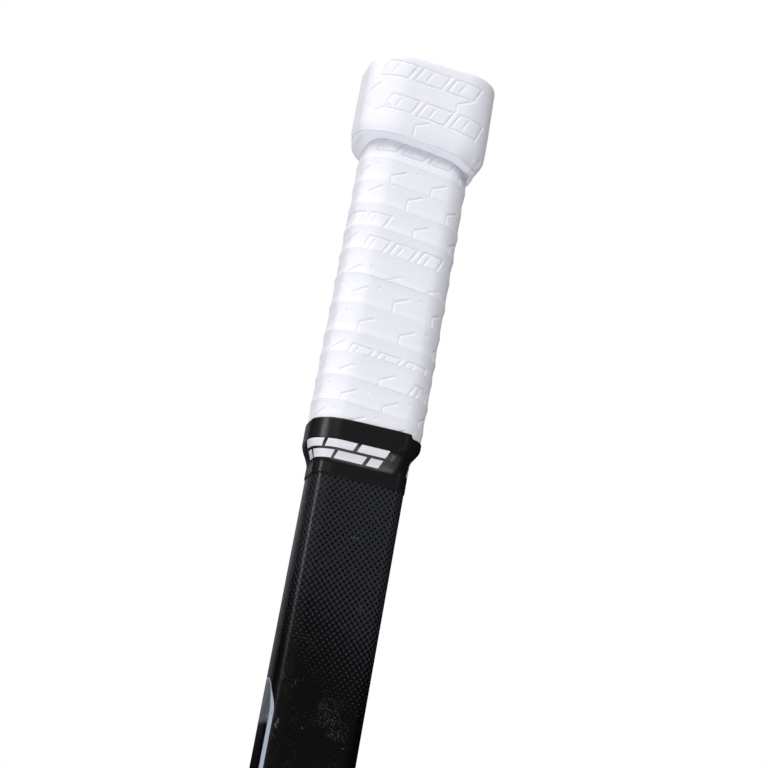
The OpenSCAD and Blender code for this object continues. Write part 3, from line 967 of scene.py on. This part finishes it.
# %% Make the tube
tube_heights = np.concatenate([np.linspace(float(tube_high[2]), TAPER_TOP, 30),
                               np.linspace(TAPER_TOP, JOINT, 16)[1:]])
shaft_skin = sleeve("shaft_skin", tube_heights, 0.0, TUBE_WALL, carbon_material("bare_carbon", "UV"))
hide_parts("shaft_tube")

# %% [markdown]
# ## Lower print
# The tapered stretch above the blade carries the same print the other way up: it starts black, and
# the black dots shrink towards the blade. The same parts of the material are used at other heights.

# %% Print the taper
LOWER_FADE = [(-1085.0, -2.3), (-1150.0, 0.0), (-1404.0, 0.8)]


def lower_print_material():
    """Charcoal screen that opens towards the blade, with pale slanted blocks on each broad face."""
    material, shader = new_material("lower_print", INK_BLACK, 0.3, Specular_IOR_Level=0.38)
    here, body = place(shader, "UV"), place(shader)
    colour = mix_colour(screen(here, LOWER_FADE), INK_GREY, INK_BLACK)
    printed = place_group(blocks, here, Top_mm=-1330.0, Height_mm=5.6, Start_mm=-15.0)[0]
    colour = dusty(mix_colour(printed, colour, INK_LINE), body, 0.45, 0.02, (0.16, 0.17, 0.19))
    feed(shader, Base_Color=colour)
    bump(shader, place_group(grain, body, Size_mm=0.8, Slow_mm=14.0, Slow_share=1.0)[0], 0.012)
    return material


lower_heights = np.linspace(TAPER_TOP, JOINT + 2, 24)
lower_print = sleeve("lower_print", lower_heights, FILM_GROW, FILM_GROW, lower_print_material())
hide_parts("lower_graphic_film")

# %% [markdown]
# ## Blade's shape
# The blade rises from the ice at the lie angle, so its own directions are along the sole and up from
# it. Its outline is a sole with a little rocker, a rounded toe and a top edge that climbs; the whole
# curves to the forehand side. The same sums as the model's give its surface at any place.

# %% Outline of the blade
BLADE = 315.0               # mm along the sole
ICE = math.radians(45)
ALONG, UP = np.array([math.sin(ICE), -math.cos(ICE)]), np.array([math.cos(ICE), math.sin(ICE)])
HEEL = np.array([0.0, -1524.0])
BEND_BACK, BEND_FRONT = 45.0, 60.0      # mm, radii of the heel and of the throat
ROCKER = 3.0                            # mm, rise of the sole 150 mm from its lowest place
HEEL_TOP, TOE_TOP = 58.0, 72.0          # mm, the top edge's height at the heel and at the toe
TOE_SOLE, TOE_CROWN = 38, 28            # mm, radii of the toe's lower and upper corners
HEEL_THICK, TOE_THICK = 9.0, 5.8        # mm, the bare blade
CURVE_FROM, SWEEP = 40, 38              # mm, where the blade starts to curve, and how far the toe does
OPENING = math.radians(6)               # how far the toe's face lies back
MID_HEIGHT = 36                         # mm, the height that the face leans about


def toe_arc(s, radius, inset):
    """Rise of a rounded toe corner: radius minus the other leg of a right triangle."""
    reach = np.maximum(0, s - (BLADE - radius))
    short = radius - inset
    return short - np.sqrt(np.maximum(0, short ** 2 - reach ** 2))


def sole_h(s, inset):
    """Height of the sole: the rocker's parabola, and the toe's corner."""
    return ROCKER * ((s - 150) / 150) ** 2 + inset + toe_arc(s, TOE_SOLE, inset)


def top_h(s, inset):
    """Height of the top edge: it climbs to the toe as a quarter sine, less the toe's corner."""
    climb = (TOE_TOP - HEEL_TOP) * np.sin(math.pi / 2 * np.clip(s / BLADE, 0, 1))
    return HEEL_TOP + climb - inset - toe_arc(s, TOE_CROWN, inset)


def blade_point(s, h, across):
    """A place in the blade's own measures, curved to the forehand and put into the frame."""
    bent = (np.maximum(0, s - CURVE_FROM) / (BLADE - CURVE_FROM)) ** 1.9
    y = -SWEEP * bent + np.tan(OPENING * bent) * (h - MID_HEIGHT) + across
    return np.stack([HEEL[0] + ALONG[0] * s + UP[0] * h, y, HEEL[1] + ALONG[1] * s + UP[1] * h], -1)


def half_thickness(s):
    """Half the bare blade's thickness, which falls evenly from the heel to the toe."""
    return (HEEL_THICK - (HEEL_THICK - TOE_THICK) * np.maximum(0, s / BLADE)) / 2


def edge_s(x, h):
    """Where the line at height h above the sole crosses the frame's x."""
    return (x - h * UP[0]) / ALONG[0]


heel_h = sole_h(edge_s(-FOOT[0] / 2, 0), 0)
SOLE_START = edge_s(-FOOT[0] / 2, heel_h) + BEND_BACK * math.tan(ICE / 2)
TOP_START = edge_s(FOOT[0] / 2, HEEL_TOP) + BEND_FRONT * math.tan(ICE / 2)
throat_h = top_h(TOP_START, 0)
HEEL_CORNER = HEEL + ALONG * edge_s(-FOOT[0] / 2, heel_h) + UP * heel_h
THROAT_CORNER = HEEL + ALONG * edge_s(FOOT[0] / 2, throat_h) + UP * throat_h
print(f"paddle from {SOLE_START:.0f} mm at the sole and {TOP_START:.0f} mm at the top")

# %% [markdown]
# ## Neck
# The neck leaves the shaft's foot as a rounded rectangle, thins, and turns into the blade along two
# arcs, one at the heel and one at the throat. It is a loft: sections between the two edges, each with
# its own depth and corner.

# %% Loft the neck
def bend_point(corner, radius, angle):
    """Point of the arc that turns the upright line through corner into the sole's direction."""
    return np.array([corner[0] + radius - radius * math.cos(angle),
                     corner[1] + radius * math.tan(ICE / 2) - radius * math.sin(angle)])


def section(back_edge, front_edge, depth, corner):
    """Rounded rectangle in the plane that stands on the line between two edges."""
    middle, run = (back_edge + front_edge) / 2, front_edge - back_edge
    length = np.linalg.norm(run)
    size = (length, depth, min(corner, depth / 2 - 0.01))
    x, y = around(corner_stations() * perimeter(0, size), 0 * corner_stations(), 0, size)
    flat = middle + np.outer(x, run / length)
    return np.stack([flat[:, 0], y, flat[:, 1]], -1)


def neck_rings(straight=14, bent=22):
    """Tenon in the shaft, then the straight neck, then the bend into the blade."""
    rings = []
    for z in (JOINT + 60, JOINT):
        size = size_at(z)
        x, y = around(corner_stations() * perimeter(0, size), -1.8 + 0 * corner_stations(), 0, size)
        rings.append(np.stack([x, y, z + 0 * x], -1))
    feet = [np.array([side * FOOT[0] / 2, JOINT]) for side in (-1, 1)]
    tops = [bend_point(HEEL_CORNER, BEND_BACK, 0), bend_point(THROAT_CORNER, BEND_FRONT, 0)]
    for t in np.linspace(0, 1, straight):
        edges_at = [foot + (top - foot) * t for foot, top in zip(feet, tops)]
        rings.append(section(*edges_at, FOOT[1] - 4 * t, FOOT[2]))
    for t in np.linspace(0, 1, bent)[1:]:
        edges_at = [bend_point(HEEL_CORNER, BEND_BACK, ICE * t),
                    bend_point(THROAT_CORNER, BEND_FRONT, ICE * t)]
        rings.append(section(*edges_at, 13 - 4 * t, FOOT[2] - 1.5 * t))
    return np.array(rings)


neck = sweep("neck", neck_rings(), carbon_material("neck_carbon", "Object", 1.6))
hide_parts("hosel")

# %% [markdown]
# ## Blade tape
# Black cotton tape is wound from heel to toe, each turn over half of the one before, and its edges
# fray a little. The whole paddle is one surface; the turns are steps on it that follow a slanted
# line, so they meet at the top and the sole. Weave and fray are in the material, and puck marks are
# pale smudges.

# %% Cloth material
def make_weave():
    """Plain weave: two crossed sets of threads, the higher one showing."""
    group, here, thread = new_group("cloth_weave", Thread_mm=0.5)
    across, along = (maths("SINE", part / (thread * (MM / math.pi))) for part in xy(here))
    return close_group(group, Height=across * along * 0.5 + 0.5)


weave = make_weave()


def cloth_material(name, dark, light, source, scuffs):
    """Woven cotton tape: threads, lint and scuffs."""
    material, shader = new_material(name, dark, 0.85, Sheen_Weight=0.25, Sheen_Roughness=0.5)
    body = place(shader)
    cloth = place_group(weave, place(shader, source), Thread_mm=0.55)[0]
    fuzz = place_group(grain, body, Size_mm=0.6, Slow_mm=12.0, Slow_share=1.2)[0]
    colour = mix_colour(cloth, dark, light)
    colour = dusty(colour, body, 7.0, scuffs, tuple(4 * v + 0.02 for v in light))
    colour = dusty(colour, body, 0.5, 0.03, tuple(6 * v + 0.03 for v in light))
    feed(shader, Base_Color=colour, Roughness=map_range(fuzz, 0.0, 1.0, 0.72, 0.95))
    bump(shader, cloth + fuzz, 0.08)
    return material


# %% Wind the blade
TURN = 12.0         # mm from one turn's edge to the next along the blade
COVER = 0.8         # mm of tape over the blade


def blade_rings(count=560, heights=56):
    """Loops round the paddle from heel to toe: up the forehand face and down the backhand one.

    A face runs flat and rounds over towards each edge as a quarter circle. Each turn of tape is
    thickest at its own edge, so the surface falls by a step at the next one."""
    share = np.linspace(0.01, 1, count)[:, None]
    spread = np.sin(math.pi / 2 * share)
    low = SOLE_START + (BLADE + COVER - SOLE_START) * spread
    high = TOP_START + (BLADE + COVER - TOP_START) * spread
    k = (1 - np.cos(math.pi * np.linspace(0, 1, heights))) / 2
    k = 0.6 * k + 0.4 * np.linspace(0, 1, heights)
    s = low + (high - low) * k
    h = sole_h(low, -COVER) + (top_h(high, -COVER) - sole_h(low, -COVER)) * k
    room = np.maximum(top_h(high, -COVER) - sole_h(low, -COVER), 0.5)
    faces = []
    for side in (-1, 1):
        to_edge = np.minimum(k, 1 - k) * room
        radius = np.minimum(half_thickness(s) + COVER, room / 2)
        rounding = np.sqrt(np.clip(1 - (1 - np.clip(to_edge / radius, 0, 1)) ** 2, 0, 1))
        phase = np.mod((s + side * 0.16 * (h - MID_HEIGHT)) / TURN, 1)
        step = 0.42 * (1 - smooth_step(0.03, 1, phase)) * smooth_step(0, 0.03, phase)
        reach = (half_thickness(s) + COVER - 0.35 + step) * rounding
        faces.append(np.concatenate([blade_point(s, h, side * reach), np.stack([s, h], -1)], -1))
    loop = np.concatenate([faces[0], faces[1][:, ::-1][:, 1:-1]], axis=1)
    return loop[..., :3], loop[..., 3:]


rings, uv = blade_rings()
blade_cloth = cloth_material("blade_cloth", (0.006, 0.006, 0.0065), (0.02, 0.02, 0.022), "UV", 0.06)
blade_wrap = sweep("blade_wrap", rings, blade_cloth, uv=uv)
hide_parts("blade_tape")

# %% [markdown]
# ## Pieces inside the stick
# The model's own plug, core, adhesive, skins and foam are already the right shape. They stay as they
# are and get a finish each, so that a cut or an exploded view shows what they are made of.

# %% Finishes of the inner pieces
def plug_material():
    """Moulded black plastic: satin, with a fine spark texture."""
    material, shader = new_material("plug_plastic", (0.016, 0.0165, 0.018), 0.45)
    texture = place_group(grain, place(shader), Size_mm=0.25, Slow_mm=4.0, Slow_share=0.4)[0]
    feed(shader, Base_Color=mix_colour(texture, (0.012, 0.012, 0.0135), (0.024, 0.0245, 0.027)))
    bump(shader, texture, 0.05)
    return material


def foam_material(name, pale, dark, cell):
    """Closed-cell foam or cured adhesive: a pale body with darker cells."""
    material, shader = new_material(name, pale, 0.8)
    cells = place_group(grain, place(shader), Size_mm=cell, Slow_mm=8.0, Slow_share=0.5)[0]
    feed(shader, Base_Color=mix_colour(cells, dark, pale))
    bump(shader, cells, 0.1)
    return material


foam = foam_material("core_foam", (0.68, 0.63, 0.5), (0.5, 0.45, 0.34), 0.5)
blade_carbon = carbon_material("blade_carbon", "Object", 1.6)
resin = foam_material("edge_resin", (0.03, 0.03, 0.034), (0.016, 0.016, 0.018), 0.6)
finishes = {
    "butt_plug": plug_material(),
    "knob_core": cloth_material("knob_cloth", (0.62, 0.61, 0.58), (0.8, 0.79, 0.76), "Object", 0.0),
    "glue_line": foam_material("adhesive", (0.55, 0.38, 0.16), (0.42, 0.28, 0.11), 1.5),
    "forehand_skin": blade_carbon, "backhand_skin": blade_carbon, "stiffening_rib": blade_carbon,
    "edge_band": resin, "lower_foam_core": foam, "upper_foam_core": foam,
}
for node_name, finish in finishes.items():
    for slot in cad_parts[node_name].material_slots:
        slot.material = finish
print(len(finishes), "inner pieces finished")

# %% [markdown]
# ## Floor and light
# The stick is shown on white, over a pale floor. Broad soft lamps stand high at the left and in
# front, and weaker ones low down and behind. Glossy black shows whatever stands where its flat front
# mirrors the view, so no broad lamp stands there. Three tall narrow lamps at the shaft's own mirror
# height draw the bright lines down its corners. One big dome would be simpler, but it would turn the
# black grey.

# %% Floor
FLOOR_HALF = 3.2        # m
low_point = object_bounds()[0][2]
floor_corners = [(x * FLOOR_HALF, y * FLOOR_HALF, low_point - MM)
                 for x, y in ((-1, -1), (1, -1), (1, 1), (-1, 1))]
floor_mesh = bpy.data.meshes.new("floor")
floor_mesh.from_pydata(floor_corners, [], [(0, 1, 2, 3)])
floor = bpy.data.objects.new("floor", floor_mesh)
bpy.context.scene.collection.objects.link(floor)
floor_mesh.materials.append(new_material("pale_floor", (0.86, 0.86, 0.87), 0.7)[0])

# %% Lamps
LIT_POINT = np.array([0, 0, -0.107])        # m, every lamp faces the middle of the handle
# name, degrees to the left of the front, degrees up, m away, size in m, radiance
LAMPS = [("softbox", 72, 34, 3.2, (1.6, 1.8), 0.8),
         ("left_back", 112, 42, 3.2, (1.6, 1.6), 4.3),
         ("front_left", 32, 36, 3.2, (1.6, 1.0), 7.2),
         ("front_top", 0, 48, 3.2, (2.0, 1.0), 4.9),
         ("left_low", 80, -25, 2.2, (1.2, 1.1), 1.4),
         ("front_low", 0, -28, 2.2, (1.6, 0.9), 2.2),
         ("back_fill", 200, 45, 3.2, (2.0, 2.0), 2.5),
         ("side_strip", 76, 16.5, 3.0, (0.45, 1.0), 5.5),
         ("rear_strip", 174, 16.5, 3.0, (0.32, 1.4), 0.6),
         ("right_strip", -45, 16.5, 3.0, (0.4, 1.0), 0.6)]


def lamp(name, left, height, distance, size, radiance):
    """A rectangular lamp that faces the handle. Its power is radiance times pi times its area."""
    left, height = math.radians(left), math.radians(height)
    toward = np.array([-math.sin(left) * math.cos(height), -math.cos(left) * math.cos(height),
                       math.sin(height)])
    data = bpy.data.lights.new(name, "AREA")
    data.shape = "RECTANGLE"
    data.size, data.size_y = size
    data.energy = radiance * math.pi * size[0] * size[1]
    light = bpy.data.objects.new(name, data)
    side = np.cross((0, 0, 1), toward)
    side /= np.linalg.norm(side)
    matrix = np.eye(4)
    matrix[:3, :3] = np.stack([side, np.cross(toward, side), toward], axis=1)
    matrix[:3, 3] = LIT_POINT + distance * toward
    light.matrix_world = Matrix(matrix)
    light.visible_camera = False
    bpy.context.scene.collection.objects.link(light)


for row in LAMPS:
    lamp(*row)
print(len(LAMPS), "lamps")


# %% World
def white_room():
    """White to the camera. As light it is dark at the level of the stick and soft from above."""
    world = bpy.data.worlds.new("white_room")
    bpy.context.scene.world = world
    world.use_nodes = True
    tree, background = world.node_tree, world.node_tree.nodes["Background"]
    height = wire(tree, "ShaderNodeSeparateXYZ", {"Vector": place(background, "Generated")})[2]
    seen = Signal(tree.nodes.new("ShaderNodeLightPath").outputs["Is Camera Ray"])
    feed(background, Strength=mix_value(seen, ramp(height, 0.5, 0.7) * 0.6, 1.0))
    background.inputs["Color"].default_value = (1, 1, 1, 1)


white_room()
bpy.context.scene.view_settings.view_transform = "Standard"
